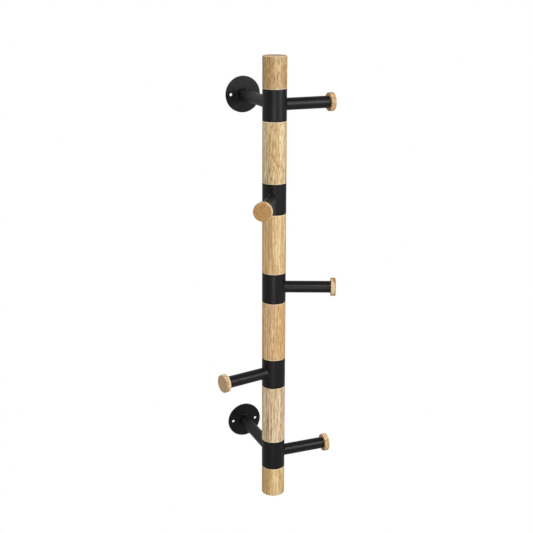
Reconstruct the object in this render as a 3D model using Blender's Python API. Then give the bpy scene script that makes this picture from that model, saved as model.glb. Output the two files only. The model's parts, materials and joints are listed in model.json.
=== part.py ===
"""Wall hook rack: a round post of wood segments and steel collars, held off a wall by two brackets.

The post is a stack: wood segments are tenoned into steel collars, and a hidden threaded rod pulls
the stack together. Every collar carries a hook, a short steel tube with a turned wooden cap. The
first and last collars also carry a standoff tube and a round wall flange, so they stay put. The
collars between them turn about the post with their hooks.

Run with: blender --background --python part.py
Units are metres and degrees, +Z is up, and the wall is the XZ plane, behind the rack at +Y.
The origin is the centre of the upper flange's back face.
"""
import math

import bmesh
import bpy
from mathutils import Vector

# Post: wood and collars are flush with each other
POST_DIAMETER = 0.038
WOOD_LENGTH = 0.0975           # wood that shows between two collars
END_LENGTH = 0.050             # wood that shows above the first collar and below the last
WOOD_EDGE = 0.0005             # eased edge where wood meets a collar
END_EDGE = 0.0015              # eased edge at the post's two free ends
TENON_LENGTH = 0.012           # turned-down wood inside a collar, at each end of it
COLLAR_LENGTH = 0.0485
COLLAR_WALL = 0.002

# Hooks, from the top collar down
HOOK_ANGLES = (0.0, -122.7, -22.6, -168.0, 0.0)     # about the post, 0 is along +X
HOOK_REACH = 0.099             # post axis to the cap's outer face
ARM_DIAMETER = 0.019
ARM_WALL = 0.0015
CAP_DIAMETER = 0.0295
CAP_THICKNESS = 0.008
CAP_EDGE = 0.0012
SPIGOT_LENGTH = 0.012          # part of the cap that is glued into the arm

# Wall brackets, on the first and last collars
STANDOFF = 0.138               # post axis to the wall
FLANGE_DIAMETER = 0.060
FLANGE_THICKNESS = 0.0025
FLANGE_EDGE = 0.0005
SCREW_HOLE_DIAMETER = 0.005
SCREW_SPACING = 0.042          # between the two holes, level with the tube

# Inside the post
ROD_DIAMETER = 0.008
ROD_EDGE = 0.0008
ROD_CLEARANCE = 0.0005         # around the rod, all round
INSERT_WALL = 0.0022           # threaded insert, outside its thread
INSERT_LENGTH = 0.025
ROD_RUN_OUT = 0.010            # bore left beyond the insert for the rod's end

GAP = 0.0003                   # between two pieces that touch, or that turn in each other

# Facets
POST_SIDES = 32
CAP_SIDES = 28
TUBE_SIDES = 20
ROD_SIDES = 16
FLANGE_SIDES = 48
HOLE_SIDES = 16
EDGE_STEPS = 2
SHARP_ANGLE = 35               # shading breaks at edges sharper than this, in degrees
MERGE_DISTANCE = 1e-6          # points nearer than this are one
GUIDE_SIZE = 0.03              # how large the guides show

# Worked out from the above
POST_RADIUS = POST_DIAMETER / 2
ARM_RADIUS = ARM_DIAMETER / 2
CAP_RADIUS = CAP_DIAMETER / 2
ROD_RADIUS = ROD_DIAMETER / 2
COLLAR_COUNT = len(HOOK_ANGLES)
COLLAR_PITCH = COLLAR_LENGTH + WOOD_LENGTH
COLLAR_BORE = POST_RADIUS - COLLAR_WALL
CORE_RADIUS = COLLAR_BORE - GAP                     # wood tenons and bushes inside a collar
ROD_BORE = ROD_RADIUS + ROD_CLEARANCE
INSERT_RADIUS = ROD_RADIUS + GAP + INSERT_WALL
INSERT_BORE = INSERT_RADIUS + GAP                   # radius of the hole that the insert sits in

OAK = ("oiled_oak", (0.56, 0.38, 0.20), 0.55, 0.0)
CAP_OAK = ("oiled_oak_cap", (0.53, 0.31, 0.13), 0.50, 0.0)
POWDER_COAT = ("black_powder_coat", (0.022, 0.022, 0.024), 0.50, 0.0)
ZINC = ("zinc_plated_steel", (0.60, 0.60, 0.58), 0.35, 1.0)
NYLON = ("natural_nylon", (0.80, 0.78, 0.70), 0.50, 0.0)


def clear_scene():
    for old in list(bpy.data.objects):
        bpy.data.objects.remove(old, do_unlink=True)


def finish(spec):
    """The named Principled material, made the first time it is asked for."""
    name, colour, roughness, metallic = spec
    material = bpy.data.materials.get(name)
    if material is None:
        material = bpy.data.materials.new(name)
        material.use_nodes = True
        shader = material.node_tree.nodes["Principled BSDF"]
        shader.inputs["Base Color"].default_value = (*colour, 1.0)
        shader.inputs["Roughness"].default_value = roughness
        shader.inputs["Metallic"].default_value = metallic
        material.diffuse_color = (*colour, 1.0)
    return material


def eased(corners):
    """Profile points from (radius, height, edge) corners, each rounded off by its own edge size."""
    points = []
    for index, (radius, height, edge) in enumerate(corners):
        corner = Vector((radius, height))
        if not edge:
            points.append(corner)
            continue
        before = Vector(corners[index - 1][:2])
        after = Vector(corners[(index + 1) % len(corners)][:2])
        start = corner + (before - corner).normalized() * edge
        end = corner + (after - corner).normalized() * edge
        centre = start + end - corner
        for step in range(EDGE_STEPS + 1):
            turn = math.pi / 2 * step / EDGE_STEPS
            points.append(centre + (start - centre) * math.cos(turn) + (end - centre) * math.sin(turn))
    return points


def turned(name, corners, sides, hollow):
    """A mesh turned about Z from its profile's corners.

    A hollow profile is a closed loop clear of the axis. A solid one starts and ends on the axis.
    """
    points = eased(corners)
    shape = bmesh.new()
    ring = [shape.verts.new((point.x, 0, point.y)) for point in points]
    edges = [shape.edges.new(pair) for pair in zip(ring, ring[1:])]
    if hollow:
        edges.append(shape.edges.new((ring[-1], ring[0])))
    bmesh.ops.spin(shape, geom=ring + edges, cent=(0, 0, 0), axis=(0, 0, 1), dvec=(0, 0, 0),
                   angle=math.tau, steps=sides, use_merge=True, use_duplicate=False)
    bmesh.ops.remove_doubles(shape, verts=shape.verts, dist=MERGE_DISTANCE)
    bmesh.ops.recalc_face_normals(shape, faces=shape.faces)
    mesh = bpy.data.meshes.new(name)
    shape.to_mesh(mesh)
    shape.free()
    return mesh


def tube_corners(outer, inner, low, high):
    return [(inner, low, 0), (outer, low, 0), (outer, high, 0), (inner, high, 0)]


def laid_along(mesh, axis):
    """Turn a mesh made about Z so that its +Z points along the axis."""
    mesh.transform(Vector((0, 0, 1)).rotation_difference(Vector(axis)).to_matrix().to_4x4())
    return mesh


def place(name, mesh, material, parent=None, location=(0, 0, 0), rotation=(0, 0, 0)):
    mesh.name = name
    if not mesh.materials:
        mesh.materials.append(finish(material))
    mesh.shade_smooth()
    mesh.set_sharp_from_angle(angle=math.radians(SHARP_ANGLE))
    piece = bpy.data.objects.new(name, mesh)
    bpy.context.scene.collection.objects.link(piece)
    piece.parent = parent
    piece.location = location
    piece.rotation_euler = rotation
    return piece


def guide(name, parent=None, location=(0, 0, 0), turn=0.0):
    """An empty that pieces hang on, turned about Z by an angle in degrees."""
    empty = bpy.data.objects.new(name, None)
    bpy.context.scene.collection.objects.link(empty)
    empty.empty_display_size = GUIDE_SIZE
    empty.parent = parent
    empty.location = location
    empty.rotation_euler.z = math.radians(turn)
    return empty


def cut(piece, cutter):
    boolean = piece.modifiers.new(cutter.name, "BOOLEAN")
    boolean.operation = "DIFFERENCE"
    boolean.solver = "EXACT"
    boolean.object = cutter


def make_cutter(name, mesh, parent=None, location=(0, 0, 0)):
    cutter = place(name, mesh, POWDER_COAT, parent, location)
    cutter.display_type = "WIRE"
    cutter.hide_render = True
    return cutter


def collar_height(index):
    """Height of a collar's middle, counted from 0 at the top."""
    return -index * COLLAR_PITCH


def middle_segment(index, post):
    """Wood between collar number index and the one below it, tenoned at both ends."""
    tenon = TENON_LENGTH + GAP
    top = WOOD_LENGTH - GAP
    corners = [
        (ROD_BORE, GAP - tenon, 0),
        (CORE_RADIUS, GAP - tenon, 0),
        (CORE_RADIUS, GAP, 0),
        (POST_RADIUS, GAP, WOOD_EDGE),
        (POST_RADIUS, top, WOOD_EDGE),
        (CORE_RADIUS, top, 0),
        (CORE_RADIUS, top + tenon, 0),
        (ROD_BORE, top + tenon, 0),
    ]
    mesh = turned("post_segment", corners, POST_SIDES, hollow=True)
    bottom = collar_height(index) + COLLAR_LENGTH / 2
    place(f"post_segment_{index + 1}", mesh, OAK, post, (0, 0, bottom))


def end_segment(name, post, height, rotation=(0, 0, 0)):
    """Wood at a free end of the post, with a blind bore for the insert and the rod's end.

    It is made as the top end, standing on its collar at height 0.
    """
    insert_top = INSERT_LENGTH + GAP - TENON_LENGTH
    bore_top = insert_top + ROD_RUN_OUT
    corners = [
        (0, bore_top, 0),
        (ROD_BORE, bore_top, 0),
        (ROD_BORE, insert_top, 0),
        (INSERT_BORE, insert_top, 0),
        (INSERT_BORE, -TENON_LENGTH, 0),
        (CORE_RADIUS, -TENON_LENGTH, 0),
        (CORE_RADIUS, GAP, 0),
        (POST_RADIUS, GAP, WOOD_EDGE),
        (POST_RADIUS, END_LENGTH, END_EDGE),
        (0, END_LENGTH, 0),
    ]
    mesh = turned(name, corners, POST_SIDES, hollow=False)
    place(name, mesh, OAK, post, (0, 0, height), rotation)


def post_wood(post):
    half = COLLAR_LENGTH / 2
    end_segment("post_segment_1", post, half)
    for index in range(1, COLLAR_COUNT):
        middle_segment(index, post)
    end_segment(f"post_segment_{COLLAR_COUNT + 1}", post, collar_height(COLLAR_COUNT - 1) - half,
                (math.pi, 0, 0))


def post_core(post):
    """The rod, the two inserts that it screws into, and the bush inside each collar."""
    bush_half = COLLAR_LENGTH / 2 - TENON_LENGTH - GAP
    for index in range(COLLAR_COUNT):
        corners = tube_corners(CORE_RADIUS, ROD_BORE, -bush_half, bush_half)
        mesh = turned("spacer_bush", corners, TUBE_SIDES, hollow=True)
        place(f"spacer_bush_{index + 1}", mesh, NYLON, post, (0, 0, collar_height(index)))

    tenon_end = COLLAR_LENGTH / 2 - TENON_LENGTH
    insert = turned("threaded_insert", tube_corners(INSERT_RADIUS, ROD_RADIUS + GAP, 0, INSERT_LENGTH),
                    TUBE_SIDES, hollow=True)
    last = collar_height(COLLAR_COUNT - 1)
    place("threaded_insert_top", insert, ZINC, post, (0, 0, tenon_end))
    place("threaded_insert_bottom", insert.copy(), ZINC, post, (0, 0, last - tenon_end), (math.pi, 0, 0))

    rod_top = tenon_end + INSERT_LENGTH
    rod_bottom = last - rod_top
    corners = [(0, rod_bottom, 0), (ROD_RADIUS, rod_bottom, ROD_EDGE),
               (ROD_RADIUS, rod_top, ROD_EDGE), (0, rod_top, 0)]
    place("tie_rod", turned("tie_rod", corners, ROD_SIDES, hollow=False), ZINC, post)


def make_post_cutter(post):
    """Clears the room of the post, so that a tube's end is coped to a collar."""
    top = collar_height(0) + COLLAR_LENGTH
    bottom = collar_height(COLLAR_COUNT - 1) - COLLAR_LENGTH
    radius = POST_RADIUS + GAP
    corners = [(0, bottom, 0), (radius, bottom, 0), (radius, top, 0), (0, top, 0)]
    return make_cutter("post_cutter", turned("post_cutter", corners, POST_SIDES, hollow=False), post)


def coped_tube(name, end, axis, parent, cutter):
    """A tube that runs from a collar out to a distance from the post's axis.

    It starts inside the post, and the cutter copes it to the collar's outside.
    """
    start = COLLAR_BORE / 2
    corners = tube_corners(ARM_RADIUS, ARM_RADIUS - ARM_WALL, start, end)
    mesh = laid_along(turned(name, corners, TUBE_SIDES, hollow=True), axis)
    cut(place(name, mesh, POWDER_COAT, parent), cutter)


def hook(number, parent, cutter):
    """A collar's arm and its cap, made along the parent's +X."""
    cap_back = HOOK_REACH - CAP_THICKNESS
    coped_tube(f"hook_arm_{number}", cap_back - GAP, (1, 0, 0), parent, cutter)

    spigot_radius = ARM_RADIUS - ARM_WALL - GAP
    corners = [
        (0, cap_back - SPIGOT_LENGTH, 0),
        (spigot_radius, cap_back - SPIGOT_LENGTH, 0),
        (spigot_radius, cap_back, 0),
        (CAP_RADIUS, cap_back, CAP_EDGE),
        (CAP_RADIUS, HOOK_REACH, CAP_EDGE),
        (0, HOOK_REACH, 0),
    ]
    mesh = laid_along(turned("hook_cap", corners, CAP_SIDES, hollow=False), (1, 0, 0))
    place(f"hook_cap_{number}", mesh, CAP_OAK, parent)


def wall_bracket(label, parent, cutter):
    """A standoff tube and its flange, made along the parent's +Y, with the wall at STANDOFF."""
    flange_front = STANDOFF - FLANGE_THICKNESS
    coped_tube(f"standoff_tube_{label}", flange_front - GAP, (0, 1, 0), parent, cutter)

    radius = FLANGE_DIAMETER / 2
    corners = [(0, 0, 0), (radius, 0, FLANGE_EDGE), (radius, FLANGE_THICKNESS, 0), (0, FLANGE_THICKNESS, 0)]
    mesh = laid_along(turned("wall_flange", corners, FLANGE_SIDES, hollow=False), (0, 1, 0))
    flange = place(f"wall_flange_{label}", mesh, POWDER_COAT, parent, (0, flange_front, 0))

    run_past = FLANGE_THICKNESS
    drill_end = FLANGE_THICKNESS + run_past
    hole_radius = SCREW_HOLE_DIAMETER / 2
    corners = [(0, -run_past, 0), (hole_radius, -run_past, 0), (hole_radius, drill_end, 0), (0, drill_end, 0)]
    for side, sign in (("left", -1), ("right", 1)):
        mesh = laid_along(turned("screw_hole", corners, HOLE_SIDES, hollow=False), (0, 1, 0))
        where = (sign * SCREW_SPACING / 2, flange_front, 0)
        cut(flange, make_cutter(f"screw_hole_{label}_{side}", mesh, parent, where))


def build():
    clear_scene()
    post = guide("post_axis", location=(0, -STANDOFF, 0))
    post_wood(post)
    post_core(post)
    cutter = make_post_cutter(post)

    brackets = {0: "top", COLLAR_COUNT - 1: "bottom"}
    for index, angle in enumerate(HOOK_ANGLES):
        number = index + 1
        height = collar_height(index)
        turn = guide(f"hook_turn_{number}", post, (0, 0, height), angle)
        corners = tube_corners(POST_RADIUS, COLLAR_BORE, -COLLAR_LENGTH / 2, COLLAR_LENGTH / 2)
        place(f"collar_{number}", turned("collar", corners, POST_SIDES, hollow=True), POWDER_COAT, turn)
        hook(number, turn, cutter)
        if index in brackets:
            square = guide(f"bracket_{brackets[index]}", post, (0, 0, height))
            wall_bracket(brackets[index], square, cutter)


build()
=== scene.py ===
"""Looks of the wall hook rack: turned oak and powder-coated steel tube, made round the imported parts.

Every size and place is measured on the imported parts. Units are metres, +Z is up, and the wall is the
XZ plane, behind the rack at +Y.
"""
import json
import math

import bmesh
import bpy
from mathutils import Matrix, Vector


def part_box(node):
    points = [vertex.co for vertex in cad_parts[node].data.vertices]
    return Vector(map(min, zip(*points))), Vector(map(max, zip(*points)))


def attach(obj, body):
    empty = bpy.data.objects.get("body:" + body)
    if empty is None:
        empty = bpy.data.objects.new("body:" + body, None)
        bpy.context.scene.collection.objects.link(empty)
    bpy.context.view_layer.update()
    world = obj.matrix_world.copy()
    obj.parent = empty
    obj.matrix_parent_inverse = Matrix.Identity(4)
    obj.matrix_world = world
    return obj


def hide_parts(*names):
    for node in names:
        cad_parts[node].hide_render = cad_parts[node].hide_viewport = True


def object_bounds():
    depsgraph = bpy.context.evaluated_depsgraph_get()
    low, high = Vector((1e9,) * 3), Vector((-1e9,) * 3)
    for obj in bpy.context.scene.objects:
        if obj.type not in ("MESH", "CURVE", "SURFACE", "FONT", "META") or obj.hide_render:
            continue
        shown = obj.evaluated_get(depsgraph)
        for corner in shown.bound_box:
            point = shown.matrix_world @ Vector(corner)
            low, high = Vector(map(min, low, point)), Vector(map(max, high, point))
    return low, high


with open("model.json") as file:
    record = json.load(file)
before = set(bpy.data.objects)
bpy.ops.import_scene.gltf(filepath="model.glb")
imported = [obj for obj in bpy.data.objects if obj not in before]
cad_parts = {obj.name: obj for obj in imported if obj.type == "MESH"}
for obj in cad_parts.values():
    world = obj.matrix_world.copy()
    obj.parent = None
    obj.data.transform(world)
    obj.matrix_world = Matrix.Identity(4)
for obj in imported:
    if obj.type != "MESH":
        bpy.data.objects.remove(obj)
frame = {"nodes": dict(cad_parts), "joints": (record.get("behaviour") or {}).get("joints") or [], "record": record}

cad_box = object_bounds()

MM = 0.001
UP = Vector((0, 0, 1))
OUT_OF_WALL = Vector((0, -1, 0))
TINY = 1e-6
DECIMALS = 5                   # positions are read to a hundredth of a millimetre
CLEAR_STEP = 1 * MM            # two radii of a turned part that differ by less than this are one
RIM_BAND = 2 * MM              # corners this near a flange's rim belong to it, and not to a screw hole

# Facets
POST_SIDES = 128
TUBE_SIDES = 96
CAP_SIDES = 96
HOLE_SIDES = 40
EDGE_SEGMENTS = 5
WELD_SEGMENTS = 6
SHARP_ANGLE = math.radians(40)

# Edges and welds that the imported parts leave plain
COLLAR_EDGE = 0.4 * MM
TUBE_EDGE = 0.35 * MM
SPIGOT_EDGE = 0.8 * MM
HOLE_EDGE = 0.3 * MM
WELD = 1.2 * MM                # leg of the small fillet weld at a tube's end
WELD_SINK = 0.04 * MM          # how far a weld runs into the metal under it

BODY_OF = {node: body for body, nodes in frame["record"]["behaviour"]["bodies"].items() for node in nodes}
SLOT_OF = {part["node"]: part["material_slot"] for part in frame["record"]["subparts"]}
POST_AXIS = Vector((*frame["joints"][0]["pos_m"][:2], 0))


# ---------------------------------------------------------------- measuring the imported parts

def corners(node):
    """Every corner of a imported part, once each."""
    vertices = frame["nodes"][node].data.vertices
    places = {tuple(round(value, DECIMALS) for value in vertex.co) for vertex in vertices}
    return [Vector(place) for place in sorted(places)]


def middle(points):
    return sum(points, Vector()) / len(points)


def rings(node, origin, direction):
    """The rings that a turned part's corners lie on, as (radius, distance along the axis) pairs."""
    found = set()
    for corner in corners(node):
        along = (corner - origin).dot(direction)
        radius = (corner - origin - direction * along).length
        found.add((round(radius, DECIMALS), round(along, DECIMALS)))
    return found


def axis_matrix(origin, direction, up=UP):
    """Puts a shape made about Z on an axis, with its X upwards."""
    across = direction.cross(up)
    return Matrix.Translation(origin) @ Matrix((up, across, direction)).transposed().to_4x4()


# ---------------------------------------------------------------- meshes

def spin(shape, outline, sides, closed=False, centre=(0, 0)):
    """Turn an outline of (radius, height) points about a line along Z."""
    centre = Vector((*centre, 0))
    points = [shape.verts.new(centre + Vector((radius, 0, height))) for radius, height in outline]
    edges = [shape.edges.new(pair) for pair in zip(points, points[1:])]
    if closed:
        edges.append(shape.edges.new((points[-1], points[0])))
    bmesh.ops.spin(shape, geom=points + edges, cent=centre, axis=UP, dvec=(0, 0, 0),
                   angle=math.tau, steps=sides, use_merge=True, use_duplicate=False)


def close_up(shape):
    bmesh.ops.remove_doubles(shape, verts=shape.verts, dist=TINY)
    bmesh.ops.recalc_face_normals(shape, faces=shape.faces)


def turned(outline, sides, closed=False):
    """A solid turned about Z. A closed outline makes a ring, and an open one starts and ends on Z."""
    shape = bmesh.new()
    spin(shape, outline, sides, closed)
    close_up(shape)
    return shape


def ease(shape, radius, height, width):
    """Round off the edge that runs round a turned solid at that radius and height."""
    def on_ring(vertex):
        return abs(vertex.co.z - height) < TINY and abs(vertex.co.xy.length - radius) < TINY
    edges = [edge for edge in shape.edges if all(on_ring(vertex) for vertex in edge.verts)]
    bmesh.ops.bevel(shape, geom=edges, offset=width, offset_type="OFFSET", segments=EDGE_SEGMENTS,
                    profile=0.5, affect="EDGES", material=-1, clamp_overlap=True)


def finished(name, shape, material, node, place=None):
    """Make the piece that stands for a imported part, and move its mesh to its place."""
    if place is not None:
        bmesh.ops.transform(shape, matrix=place, verts=shape.verts)
    mesh = bpy.data.meshes.new(name)
    shape.to_mesh(mesh)
    shape.free()
    mesh.materials.append(material)
    mesh.shade_smooth()
    mesh.set_sharp_from_angle(angle=SHARP_ANGLE)
    piece = bpy.data.objects.new(name, mesh)
    bpy.context.scene.collection.objects.link(piece)
    piece.modifiers.new("flat_stays_flat", "WEIGHTED_NORMAL").keep_sharp = True
    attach(piece, BODY_OF[node])
    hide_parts(node)
    return piece


# ---------------------------------------------------------------- materials

def colour(code):
    """Linear RGBA of an sRGB hex colour."""
    values = [int(code[start:start + 2], 16) / 255 for start in (1, 3, 5)]
    linear = [value / 12.92 if value <= 0.04045 else ((value + 0.055) / 1.055) ** 2.4 for value in values]
    return (*linear, 1.0)


def add(tree, kind, inputs=None, **settings):
    """Add a shader node: settings are its properties, and inputs are values to set or sockets to link."""
    made = tree.nodes.new(kind)
    for key, value in settings.items():
        setattr(made, key, value)
    for key, value in (inputs or {}).items():
        if isinstance(value, bpy.types.NodeSocket):
            tree.links.new(value, made.inputs[key])
        else:
            made.inputs[key].default_value = value
    return made


def new_material(name, sockets):
    """A material with these values on its shader's own sockets. Returns it, its nodes and the shader."""
    material = bpy.data.materials.new(name)
    material.use_nodes = True
    shader = material.node_tree.nodes["Principled BSDF"]
    for key, value in sockets.items():
        shader.inputs[key].default_value = value
    return material, material.node_tree, shader


# Noise patterns in the grain: bumps to a millimetre across it, and how much longer they are along it.
# Fibres lie in bundles 2 mm wide and 60 mm long, with a darker thread 1.5 mm wide here and there, and flecks
# are 1.2 mm by 11 mm. The pores of real oak are 0.3 mm wide: these are 0.8 mm, so that they show.
GRAIN = {
    "sway": {"scale": 0.06, "stretch": 6, "detail": 1.5},
    "tint": {"scale": 0.10, "stretch": 16, "detail": 1.0},
    "bundles": {"scale": 0.45, "stretch": 26, "detail": 2.0},
    "threads": {"scale": 0.50, "stretch": 40, "detail": 1.0},
    "flecks": {"scale": 0.85, "stretch": 9, "detail": 1.5},
    "pores": {"scale": 1.0, "stretch": 8, "detail": 1.0},
}
RING_SPACING = 3.4             # growth rings, in millimetres
RING_SWAY = 9                  # how far they wander, in millimetres
HEART_FADE = 8, -4             # where the heartwood fades in, in millimetres outside its edge
ARRIS_HIGHLIGHT_BAND = 1.6, 0.6          # where the painted highlight on the arris starts and where it is full, in millimetres from a seam
END_GRAIN = 0.6, 0.95          # squared cosine to the fibres at which a face starts to be end grain, and is
PORE_DEPTH = 0.10 * MM
OILED_ROUGHNESS = 0.46, 0.60

# Colours that every piece of the oak shares
LATEWOOD = "#93652F"
DARK_THREAD = "#8E6438"
PORE = "#7A4F20"
OIL_FILLED_PORE = "#8A5C28"
# a painted highlight: the pale colour laid on the arris beside a seam
PAINTED_ARRIS_HIGHLIGHT = "#F6E6C4"


def oiled_oak(name, centre, fibre, half_length, wood):
    """Oak, turned, sanded and oiled: pale gold with long streaks, growth rings and dark pores.

    The pattern is laid out in millimetres from the blank's centre, with its third axis along the fibres.
    """
    material, tree, shader = new_material(name, {"IOR": 1.45})
    place = add(tree, "ShaderNodeTexCoord")
    turn = axis_matrix(centre, fibre, OUT_OF_WALL).to_euler()
    grain = add(tree, "ShaderNodeMapping", {"Vector": place.outputs["Object"], "Location": centre,
                                            "Rotation": turn, "Scale": (MM, MM, MM)},
                vector_type="TEXTURE").outputs[0]
    noise = {}
    for pattern, size in GRAIN.items():
        drawn = add(tree, "ShaderNodeVectorMath", {0: grain, 1: (1, 1, 1 / size["stretch"])},
                    operation="MULTIPLY").outputs[0]
        noise[pattern] = add(tree, "ShaderNodeTexNoise",
                             {"Vector": drawn, "W": wood["seed"] + size["scale"], "Scale": size["scale"],
                              "Detail": size["detail"]}, noise_dimensions="4D").outputs

    # growth rings about the tree's pith, wandering as the trunk did, with dark latewood of uneven strength
    swung = add(tree, "ShaderNodeVectorMath",
                {0: noise["sway"]["Color"], 1: (RING_SWAY, RING_SWAY, 0), 2: grain},
                operation="MULTIPLY_ADD").outputs[0]
    from_pith = add(tree, "ShaderNodeVectorMath", {0: swung, 1: (*wood["pith"], 0)},
                    operation="SUBTRACT").outputs[0]
    level = add(tree, "ShaderNodeVectorMath", {0: from_pith, 1: (1, 1, 0)}, operation="MULTIPLY").outputs[0]
    radius = add(tree, "ShaderNodeVectorMath", {0: level}, operation="LENGTH").outputs["Value"]
    years = add(tree, "ShaderNodeMath", {0: radius, 1: RING_SPACING}, operation="DIVIDE").outputs[0]
    season = add(tree, "ShaderNodeMath", {0: years}, operation="FRACT").outputs[0]
    year = add(tree, "ShaderNodeMath", {0: years}, operation="FLOOR").outputs[0]
    luck = add(tree, "ShaderNodeTexWhiteNoise", {"W": year}, noise_dimensions="1D").outputs["Value"]
    latewood = add(tree, "ShaderNodeMath", {0: season, 1: 3.0}, operation="POWER").outputs[0]
    ring = add(tree, "ShaderNodeMath", {0: latewood, 1: luck}, operation="MULTIPLY").outputs[0]
    heart = add(tree, "ShaderNodeMapRange", {"Value": radius, "From Min": wood["heart"] + HEART_FADE[0],
                                             "From Max": wood["heart"] + HEART_FADE[1]}).outputs[0]

    # how brown each spot is, from the heartwood, the fibres' bundles and the flecks
    bundle = add(tree, "ShaderNodeMapRange", {"Value": noise["bundles"]["Fac"], "From Min": 0.36,
                                              "From Max": 0.64, "To Max": wood["bundles"]}).outputs[0]
    fleck = add(tree, "ShaderNodeMapRange", {"Value": noise["flecks"]["Fac"], "From Min": 0.34,
                                             "From Max": 0.66, "To Min": -0.35 * wood["flecks"],
                                             "To Max": 0.65 * wood["flecks"]}).outputs[0]
    depth = add(tree, "ShaderNodeMath", {0: heart, 1: 0.40, 2: bundle}, operation="MULTIPLY_ADD").outputs[0]
    brown = add(tree, "ShaderNodeMath", {0: depth, 1: fleck}, operation="ADD", use_clamp=True).outputs[0]
    warm = add(tree, "ShaderNodeMapRange", {"Value": noise["tint"]["Fac"], "From Min": 0.42,
                                            "From Max": 0.60, "To Max": 0.7}).outputs[0]
    tinted = add(tree, "ShaderNodeMix", {0: warm, 6: colour(wood["light"]), 7: colour(wood["tint"])},
                 data_type="RGBA").outputs[2]
    ground = add(tree, "ShaderNodeMix", {0: brown, 6: tinted, 7: colour(wood["dark"])},
                 data_type="RGBA").outputs[2]

    # latewood, threads and pores are drawn over it
    rings_seen = add(tree, "ShaderNodeMath", {0: ring, 1: wood["rings"]}, operation="MULTIPLY").outputs[0]
    ringed = add(tree, "ShaderNodeMix", {0: rings_seen, 6: ground, 7: colour(LATEWOOD)},
                 data_type="RGBA").outputs[2]
    thread = add(tree, "ShaderNodeMapRange", {"Value": noise["threads"]["Fac"], "From Min": 0.58,
                                              "From Max": 0.68, "To Max": wood["threads"]}).outputs[0]
    threaded = add(tree, "ShaderNodeMix", {0: thread, 6: ringed, 7: colour(DARK_THREAD)},
                   data_type="RGBA").outputs[2]
    pore = add(tree, "ShaderNodeMapRange", {"Value": noise["pores"]["Fac"], "From Min": 0.60,
                                            "From Max": 0.72}).outputs[0]
    pores_seen = add(tree, "ShaderNodeMath", {0: pore, 1: wood["pores"]}, operation="MULTIPLY").outputs[0]
    pored = add(tree, "ShaderNodeMix", {0: pores_seen, 6: threaded, 7: colour(PORE)},
                data_type="RGBA").outputs[2]

    # a painted highlight makes the arris beside a seam pale, and wood cut across drinks more oil and goes darker
    height = add(tree, "ShaderNodeSeparateXYZ", {0: grain}).outputs["Z"]
    reach = add(tree, "ShaderNodeMath", {0: height}, operation="ABSOLUTE").outputs[0]
    end = half_length / MM
    arris_highlight = add(tree, "ShaderNodeMapRange", {"Value": reach, "From Min": end - ARRIS_HIGHLIGHT_BAND[0],
                                            "From Max": end - ARRIS_HIGHLIGHT_BAND[1], "To Max": 0.5}).outputs[0]
    highlighted_arris = add(tree, "ShaderNodeMix", {0: arris_highlight, 6: pored, 7: colour(PAINTED_ARRIS_HIGHLIGHT)},
                 data_type="RGBA").outputs[2]
    facing = add(tree, "ShaderNodeVectorMath", {0: place.outputs["Normal"], 1: fibre},
                 operation="DOT_PRODUCT").outputs["Value"]
    across = add(tree, "ShaderNodeMath", {0: facing, 1: facing}, operation="MULTIPLY").outputs[0]
    sawn = add(tree, "ShaderNodeMapRange", {"Value": across, "From Min": END_GRAIN[0],
                                            "From Max": END_GRAIN[1]}).outputs[0]
    soaked = add(tree, "ShaderNodeMapRange", {"Value": noise["flecks"]["Fac"], "From Min": 0.40,
                                              "From Max": 0.70, "To Max": 0.8}).outputs[0]
    filled = add(tree, "ShaderNodeMath", {0: ring, 1: 0.35, 2: soaked}, operation="MULTIPLY_ADD",
                 use_clamp=True).outputs[0]
    end_grain = add(tree, "ShaderNodeMix", {0: filled, 6: colour(wood["cut"]), 7: colour(OIL_FILLED_PORE)},
                    data_type="RGBA").outputs[2]
    skin = add(tree, "ShaderNodeMix", {0: sawn, 6: highlighted_arris, 7: end_grain}, data_type="RGBA").outputs[2]
    tree.links.new(skin, shader.inputs["Base Color"])

    # pores are a little duller than the oiled wood round them, and sunk into it
    sheen = add(tree, "ShaderNodeMapRange",
                {"Value": noise["bundles"]["Fac"], "From Min": 0.3, "From Max": 0.7,
                 "To Min": OILED_ROUGHNESS[0], "To Max": OILED_ROUGHNESS[1]}).outputs[0]
    dull = add(tree, "ShaderNodeMath", {0: pore, 1: 0.15, 2: sheen}, operation="MULTIPLY_ADD").outputs[0]
    tree.links.new(dull, shader.inputs["Roughness"])
    relief = add(tree, "ShaderNodeMath", {0: pore, 1: -0.8, 2: noise["bundles"]["Fac"]},
                 operation="MULTIPLY_ADD").outputs[0]
    bump = add(tree, "ShaderNodeBump", {"Height": relief, "Strength": 0.3,
                                        "Distance": PORE_DEPTH}).outputs[0]
    tree.links.new(bump, shader.inputs["Normal"])
    return material


GLOSS_PATCHES = 60             # to the metre: the coat's tone and gloss drift in patches 17 mm across
PEEL_DIMPLES = 800             # to the metre: its orange peel is 1.25 mm from dimple to dimple
COAT_ROUGHNESS = 0.36, 0.42


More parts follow.
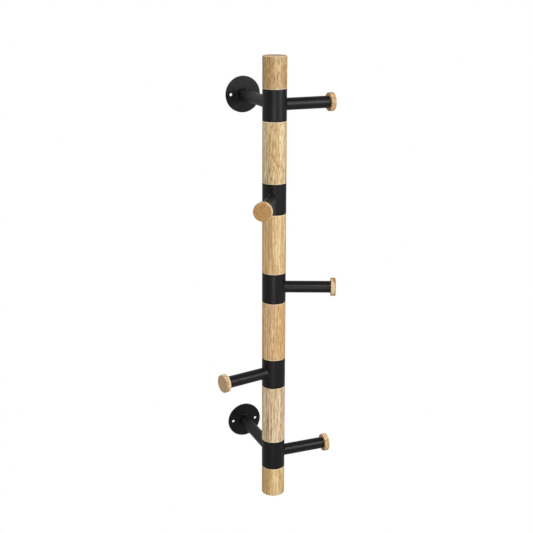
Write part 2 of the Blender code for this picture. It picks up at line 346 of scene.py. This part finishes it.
def powder_coat():
    """Steel, welded up and powder coated satin black: a baked skin with a faint orange peel."""
    material, tree, shader = new_material("powder_coated_steel", {"IOR": 1.45, "Specular IOR Level": 0.36})
    place = add(tree, "ShaderNodeTexCoord").outputs["Object"]
    cloud = add(tree, "ShaderNodeTexNoise", {"Vector": place, "Scale": GLOSS_PATCHES,
                                             "Detail": 3.0}).outputs["Fac"]
    peel = add(tree, "ShaderNodeTexNoise", {"Vector": place, "Scale": PEEL_DIMPLES,
                                            "Detail": 2.0}).outputs["Fac"]
    skin = add(tree, "ShaderNodeMix", {0: cloud, 6: colour("#120F11"), 7: colour("#171315")},
               data_type="RGBA").outputs[2]
    tree.links.new(skin, shader.inputs["Base Color"])
    gloss = add(tree, "ShaderNodeMapRange", {"Value": cloud, "From Min": 0.3, "From Max": 0.7,
                                             "To Min": COAT_ROUGHNESS[0],
                                             "To Max": COAT_ROUGHNESS[1]}).outputs[0]
    tree.links.new(gloss, shader.inputs["Roughness"])
    bump = add(tree, "ShaderNodeBump", {"Height": peel, "Strength": 0.2, "Distance": 0.05 * MM}).outputs[0]
    tree.links.new(bump, shader.inputs["Normal"])
    return material


# Tool lines on turned pieces, to the metre across the axis and along it: 0.67 mm apart, and 0.4 mm
STEEL_LINES = 40, 40, 1500
NYLON_LINES = 30, 30, 2500


def zinc_plate():
    """Steel, machined and zinc plated: bright grey with faint turning lines."""
    material, tree, shader = new_material("zinc_plated_steel", {"Metallic": 1.0})
    place = add(tree, "ShaderNodeTexCoord").outputs["Object"]
    lathe = add(tree, "ShaderNodeMapping", {"Vector": place, "Scale": STEEL_LINES}).outputs[0]
    lines = add(tree, "ShaderNodeTexNoise", {"Vector": lathe, "Scale": 1.0, "Detail": 2.0}).outputs["Fac"]
    plate = add(tree, "ShaderNodeMix", {0: lines, 6: colour("#B9BCBD"), 7: colour("#D3D4D2")},
                data_type="RGBA").outputs[2]
    tree.links.new(plate, shader.inputs["Base Color"])
    gloss = add(tree, "ShaderNodeMapRange", {"Value": lines, "To Min": 0.28, "To Max": 0.42}).outputs[0]
    tree.links.new(gloss, shader.inputs["Roughness"])
    return material


def turned_nylon():
    """Nylon rod, turned: milky, with fine tool rings."""
    material, tree, shader = new_material("turned_nylon", {"IOR": 1.53})
    place = add(tree, "ShaderNodeTexCoord").outputs["Object"]
    lathe = add(tree, "ShaderNodeMapping", {"Vector": place, "Scale": NYLON_LINES}).outputs[0]
    lines = add(tree, "ShaderNodeTexNoise", {"Vector": lathe, "Scale": 1.0, "Detail": 1.0}).outputs["Fac"]
    milk = add(tree, "ShaderNodeMix", {0: lines, 6: colour("#DDD9CC"), 7: colour("#E8E5DB")},
               data_type="RGBA").outputs[2]
    tree.links.new(milk, shader.inputs["Base Color"])
    bump = add(tree, "ShaderNodeBump", {"Height": lines, "Strength": 0.2, "Distance": 0.03 * MM}).outputs[0]
    tree.links.new(bump, shader.inputs["Normal"])
    return material


# ---------------------------------------------------------------- pieces

POST_CUT = "#DCC09A"           # end grain, the same in every length

# The post's lengths of wood, from the top. pith is where the tree's middle lay, in mm from the blank's,
# and heart is how far out from it the browner heartwood went.
POST_WOOD = (
    {"light": "#D1B485", "dark": "#8B6639", "tint": "#BB9A5E", "cut": POST_CUT, "seed": 54.5,
     "pith": (-36, 26), "heart": 30, "rings": 0.45, "bundles": 0.50, "threads": 0.30,
     "flecks": 1.00, "pores": 0.80},
    {"light": "#EEDBB2", "dark": "#AA834F", "tint": "#DFBF87", "cut": POST_CUT, "seed": 28.8,
     "pith": (-50, 10), "heart": 26, "rings": 0.40, "bundles": 0.46, "threads": 0.30,
     "flecks": 0.95, "pores": 0.80},
    {"light": "#EFD5A2", "dark": "#AE814A", "tint": "#E0BA7B", "cut": POST_CUT, "seed": 56.6,
     "pith": (-44, 12), "heart": 38, "rings": 0.50, "bundles": 0.62, "threads": 0.50,
     "flecks": 0.46, "pores": 0.40},
    {"light": "#F0D0A0", "dark": "#AE804C", "tint": "#E3B77D", "cut": POST_CUT, "seed": 85.5,
     "pith": (-30, -40), "heart": 20, "rings": 0.40, "bundles": 0.42, "threads": 0.25,
     "flecks": 0.80, "pores": 0.65},
    {"light": "#F9E9C9", "dark": "#B2875F", "tint": "#EACF9F", "cut": POST_CUT, "seed": 47.8,
     "pith": (-46, 20), "heart": 44, "rings": 0.60, "bundles": 0.62, "threads": 0.60,
     "flecks": 0.76, "pores": 0.60},
    {"light": "#F6DBA4", "dark": "#B1814A", "tint": "#E3B86E", "cut": POST_CUT, "seed": 54.3,
     "pith": (-40, 6), "heart": 34, "rings": 0.55, "bundles": 0.62, "threads": 0.40,
     "flecks": 0.60, "pores": 0.40},
)
CAP_GRAIN = {"heart": 12, "rings": 0.40, "bundles": 0.42, "threads": 0.20, "flecks": 0.64, "pores": 0.50}
# The caps' wood, from the top hook
CAP_WOOD = (
    {"light": "#F2D6A6", "dark": "#AC8254", "tint": "#DFB880", "cut": "#CDA373", "seed": 11.0,
     "pith": (12, 3), **CAP_GRAIN},
    {"light": "#E6BE82", "dark": "#A87843", "tint": "#D8A566", "cut": "#C5975E", "seed": 12.4,
     "pith": (15, 8), **CAP_GRAIN},
    {"light": "#E0BA80", "dark": "#A07342", "tint": "#D2A264", "cut": "#C89C66", "seed": 13.1,
     "pith": (10, -6), **CAP_GRAIN},
    {"light": "#F4DCB4", "dark": "#B28A60", "tint": "#E6C494", "cut": "#DCB890", "seed": 14.6,
     "pith": (18, 2), **CAP_GRAIN},
    {"light": "#FFEAC0", "dark": "#C39C6A", "tint": "#F0CC94", "cut": "#D6B284", "seed": 15.8,
     "pith": (14, 5), **CAP_GRAIN},
)


def post_length(number, wood):
    """One length of the post, with its tenons, its bore and, at a free end, its pocket."""
    node = f"post_segment_{number}"
    free_end = number in (1, len(POST_WOOD))
    out = UP if number == 1 else -UP
    found = rings(node, POST_AXIS, out)
    foot, head = min(along for _, along in found), max(along for _, along in found)
    core = max(radius for radius, along in found if along == foot)
    post = max(radius for radius, _ in found)
    shoulder = min(along for radius, along in found if radius > core + CLEAR_STEP)
    full = [along for radius, along in found if radius == post]
    bore = min(radius for radius, _ in found)
    if free_end:
        bore_end = max(along for radius, along in found if radius == bore)
        pocket = max(radius for radius, along in found if radius < core - CLEAR_STEP)
        pocket_end = max(along for radius, along in found if radius == pocket)
        outline = [(0, bore_end), (bore, bore_end), (bore, pocket_end), (pocket, pocket_end), (pocket, foot),
                   (core, foot), (core, shoulder), (post, shoulder), (post, head), (0, head)]
        shape = turned(outline, POST_SIDES)
        far_shoulder = head
    else:
        far_shoulder = max(along for radius, along in found if radius > core + CLEAR_STEP)
        outline = [(bore, foot), (core, foot), (core, shoulder), (post, shoulder), (post, far_shoulder),
                   (core, far_shoulder), (core, head), (bore, head)]
        shape = turned(outline, POST_SIDES, closed=True)
    ease(shape, post, shoulder, min(full) - shoulder)
    ease(shape, post, far_shoulder, far_shoulder - max(full))
    centre = POST_AXIS + out * (shoulder + far_shoulder) / 2
    material = oiled_oak(f"oiled_oak_{number}", centre, UP, (far_shoulder - shoulder) / 2, wood)
    finished(f"oak_length_{number}", shape, material, node, axis_matrix(POST_AXIS, out, Vector((1, 0, 0))))


def collar_sleeve(number, coat):
    """The steel sleeve round the post, its two ends eased. Returns its middle and its radius."""
    node = f"collar_{number}"
    found = rings(node, POST_AXIS, UP)
    low, high = min(along for _, along in found), max(along for _, along in found)
    inner, outer = min(radius for radius, _ in found), max(radius for radius, _ in found)
    shape = turned([(inner, low), (outer, low), (outer, high), (inner, high)], POST_SIDES, closed=True)
    for height in (low, high):
        ease(shape, outer, height, COLLAR_EDGE)
        ease(shape, inner, height, COLLAR_EDGE)
    finished(f"collar_sleeve_{number}", shape, coat, node, Matrix.Translation(POST_AXIS))
    return POST_AXIS + UP * (low + high) / 2, outer


def weld_arc(radius, foot, outward):
    """A fillet weld's outline, from the metal it runs into, at foot, up to the tube's wall."""
    points = []
    for step in range(WELD_SEGMENTS + 1):
        angle = math.radians(90) * step / WELD_SEGMENTS
        points.append((radius + WELD * (1 - math.sin(angle)), foot + outward * WELD * (1 - math.cos(angle))))
    return points


def welded_tube(name, node, centre, direction, collar_radius, coat, welded_far):
    """A tube welded to a collar, and at its far end either welded to a flange or left open for a cap."""
    found = rings(node, centre, direction)
    far = max(along for _, along in found)
    outer = max(radius for radius, along in found if along == far)
    inner = min(radius for radius, along in found if along == far)
    near = collar_radius - WELD_SINK
    start = weld_arc(outer, near, 1)
    if welded_far:
        flange_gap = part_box(f"wall_flange_{node.split('_')[-1]}")[0].y - (centre + direction * far).y
        far += flange_gap + WELD_SINK
        end = weld_arc(outer, far, -1)[::-1]
    else:
        end = [(outer, far)]
    shape = turned([(inner, near), *start, *end, (inner, far)], TUBE_SIDES, closed=True)
    if not welded_far:
        ease(shape, outer, far, TUBE_EDGE)

    # a coped end follows the collar's round face
    for vertex in shape.verts:
        if vertex.co.z < near + 2 * WELD:
            vertex.co.z += math.sqrt(collar_radius ** 2 - vertex.co.y ** 2) - collar_radius
    return finished(name, shape, coat, node, axis_matrix(centre, direction))


def oak_cap(number, node, centre, direction, wood):
    """A turned cap: a round-edged disc on a spigot that is glued into the arm."""
    found = rings(node, centre, direction)
    foot, front = min(along for _, along in found), max(along for _, along in found)
    spigot = max(radius for radius, along in found if along == foot)
    radius = max(radius for radius, _ in found)
    back = min(along for ring_radius, along in found if ring_radius > spigot + CLEAR_STEP)
    edge = front - max(along for ring_radius, along in found if ring_radius == radius)
    shape = turned([(0, foot), (spigot, foot), (spigot, back), (radius, back), (radius, front), (0, front)],
                   CAP_SIDES)
    ease(shape, spigot, foot, SPIGOT_EDGE)
    ease(shape, radius, back, edge)
    ease(shape, radius, front, edge)
    material = oiled_oak(f"oiled_oak_cap_{number}", centre + direction * (back + front) / 2, direction,
                         (front - back) / 2, wood)
    finished(f"oak_cap_{number}", shape, material, node, axis_matrix(centre, direction))


def wall_plate(label, coat):
    """A round steel plate with two screw holes, its rim and its holes eased."""
    node = f"wall_flange_{label}"
    low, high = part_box(node)
    centre = Vector(((low.x + high.x) / 2, high.y, (low.z + high.z) / 2))
    thickness = high.y - low.y
    rim = (high.x - low.x) / 2
    edge = thickness - max(along for radius, along in rings(node, centre, OUT_OF_WALL)
                           if radius == round(rim, DECIMALS))
    at_holes = [corner for corner in corners(node) if (corner - centre).xz.length < rim - RIM_BAND]

    shape = bmesh.new()
    arc = [math.radians(90) * step / EDGE_SEGMENTS for step in range(EDGE_SEGMENTS + 1)]
    eased = [(rim - edge * (1 - math.cos(turn)), thickness - edge * (1 - math.sin(turn))) for turn in arc]
    spin(shape, [(rim, 0)] + eased, TUBE_SIDES)
    for side in (-1, 1):
        corner_ring = [corner for corner in at_holes if (corner.x - centre.x) * side > 0]
        hole = middle(corner_ring)
        radius = max((corner - hole).xz.length for corner in corner_ring)
        mouth = [(radius + HOLE_EDGE * (1 - math.cos(turn)), thickness - HOLE_EDGE * (1 - math.sin(turn)))
                 for turn in arc]
        spin(shape, [(radius, 0)] + mouth, HOLE_SIDES, centre=(hole.z - centre.z, hole.x - centre.x))
    for height in (0, thickness):
        edges = [edge for edge in shape.edges
                 if edge.is_boundary and all(abs(vertex.co.z - height) < TINY for vertex in edge.verts)]
        bmesh.ops.triangle_fill(shape, edges=edges, use_beauty=True)
    close_up(shape)
    finished(f"wall_plate_{label}", shape, coat, node, axis_matrix(centre, OUT_OF_WALL))


def build():
    coat = powder_coat()
    for index, wood in enumerate(POST_WOOD):
        post_length(index + 1, wood)
    for index, wood in enumerate(CAP_WOOD):
        number = index + 1
        centre, radius = collar_sleeve(number, coat)
        cap = f"hook_cap_{number}"
        direction = (middle(corners(cap)) - centre).normalized()
        welded_tube(f"arm_tube_{number}", f"hook_arm_{number}", centre, direction, radius, coat, False)
        oak_cap(number, cap, centre, direction, wood)
        for label, collar_number in (("top", 1), ("bottom", len(CAP_WOOD))):
            if number == collar_number:
                welded_tube(f"bracket_tube_{label}", f"standoff_tube_{label}", centre, -OUT_OF_WALL, radius,
                            coat, True)
                wall_plate(label, coat)

    inside = {"zinc_steel": zinc_plate(), "nylon": turned_nylon()}
    for node, slot in SLOT_OF.items():
        if slot in inside:
            frame["nodes"][node].data.materials.clear()
            frame["nodes"][node].data.materials.append(inside[slot])


# ---------------------------------------------------------------- studio

PAPER = colour("#FFFFFF")
FLOOR_DROP = 1.1               # floor below the rack
FLOOR_SIZE = 120.0
FLOOR_GLOW = 0.37              # what white paper far below sends back up
BACKDROP_GLOW = 0.49           # what the lit backdrop behind the wall sends
ROOM_GLOW = 0.02               # what the dim room in front sends
BACKDROP_START, BACKDROP_FULL = -0.4, 0.6    # Y of the directions in which one turns into the other
BOX_DISTANCE = 2.2             # from the rack to each softbox

# Softboxes: where they stand round the rack, how wide and high they look from it, in degrees, and watts
SOFTBOXES = (
    {"name": "key_softbox", "azimuth": 35, "elevation": 16, "width": 8, "height": 20, "watts": 19},
    {"name": "fill_softbox", "azimuth": -25, "elevation": -8, "width": 20, "height": 20, "watts": 9},
    {"name": "front_softbox", "azimuth": 0, "elevation": 35, "width": 30, "height": 20, "watts": 27},
    {"name": "side_softbox", "azimuth": -120, "elevation": 40, "width": 30, "height": 30, "watts": 18},
)

# The camera looks slightly down at the rack from its left. Angles are in degrees.
CAMERA_AZIMUTH = -22.14
CAMERA_PITCH = -16.545
CAMERA_ROLL = 0.125
CAMERA_DISTANCE = 1.5954       # from the post's axis
CAMERA_RISE = 0.14124          # above the top of the post
CAMERA_SIDESTEP = -0.01189
CAMERA_LENS = 70.23


def paper_glow(tree, sent):
    """How white paper shines: full white where it is seen, and dimmer in what it sends to the rack."""
    seen = add(tree, "ShaderNodeLightPath").outputs["Is Camera Ray"]
    return add(tree, "ShaderNodeMix", {0: seen, 2: sent, 3: 1.0}, data_type="FLOAT").outputs[0]


def surround():
    """A white room round the rack, and a paper floor far below it."""
    scene = bpy.context.scene
    scene.view_settings.view_transform = "Standard"
    scene.world = bpy.data.worlds.new("white_room")
    scene.world.use_nodes = True
    tree = scene.world.node_tree
    tree.nodes.clear()
    way = add(tree, "ShaderNodeTexCoord").outputs["Generated"]
    backwards = add(tree, "ShaderNodeSeparateXYZ", {0: way}).outputs["Y"]
    sent = add(tree, "ShaderNodeMapRange",
               {"Value": backwards, "From Min": BACKDROP_START, "From Max": BACKDROP_FULL,
                "To Min": ROOM_GLOW, "To Max": BACKDROP_GLOW}, interpolation_type="SMOOTHSTEP").outputs[0]
    room = add(tree, "ShaderNodeBackground", {"Color": PAPER, "Strength": paper_glow(tree, sent)}).outputs[0]
    add(tree, "ShaderNodeOutputWorld", {"Surface": room})

    material = bpy.data.materials.new("white_paper")
    material.use_nodes = True
    tree = material.node_tree
    tree.nodes.clear()
    paper = add(tree, "ShaderNodeEmission", {"Color": PAPER,
                                             "Strength": paper_glow(tree, FLOOR_GLOW)}).outputs[0]
    add(tree, "ShaderNodeOutputMaterial", {"Surface": paper})
    mesh = bpy.data.meshes.new("paper_floor")
    shape = bmesh.new()
    bmesh.ops.create_grid(shape, x_segments=1, y_segments=1, size=FLOOR_SIZE / 2,
                          matrix=Matrix.Translation((0, 0, cad_box[0].z - FLOOR_DROP)))
    shape.to_mesh(mesh)
    shape.free()
    mesh.materials.append(material)
    floor = bpy.data.objects.new("paper_floor", mesh)
    scene.collection.objects.link(floor)


def softboxes():
    rack = (cad_box[0] + cad_box[1]) / 2
    for box in SOFTBOXES:
        azimuth, elevation = math.radians(box["azimuth"]), math.radians(box["elevation"])
        out = Vector((math.sin(azimuth) * math.cos(elevation), -math.cos(azimuth) * math.cos(elevation),
                      math.sin(elevation)))
        data = bpy.data.lights.new(box["name"], "AREA")
        data.shape = "RECTANGLE"
        data.size = 2 * BOX_DISTANCE * math.tan(math.radians(box["width"] / 2))
        data.size_y = 2 * BOX_DISTANCE * math.tan(math.radians(box["height"] / 2))
        data.energy = box["watts"]
        lamp = bpy.data.objects.new(box["name"], data)
        lamp.location = rack + out * BOX_DISTANCE
        lamp.rotation_euler = out.to_track_quat("Z", "Y").to_euler()
        lamp.visible_camera = False
        bpy.context.scene.collection.objects.link(lamp)


def camera():
    azimuth = math.radians(CAMERA_AZIMUTH)
    back = Vector((math.sin(azimuth), -math.cos(azimuth), 0))
    right = Vector((math.cos(azimuth), math.sin(azimuth), 0))
    data = bpy.data.cameras.new("camera")
    data.lens = CAMERA_LENS
    made = bpy.data.objects.new("camera", data)
    made.location = (POST_AXIS + back * CAMERA_DISTANCE + right * CAMERA_SIDESTEP
                     + UP * (cad_box[1].z + CAMERA_RISE))
    turn = (Matrix.Rotation(azimuth, 3, "Z") @ Matrix.Rotation(math.radians(90 + CAMERA_PITCH), 3, "X")
            @ Matrix.Rotation(math.radians(CAMERA_ROLL), 3, "Z"))
    made.rotation_euler = turn.to_euler()
    bpy.context.scene.collection.objects.link(made)
    bpy.context.scene.camera = made


build()
surround()
softboxes()
camera()
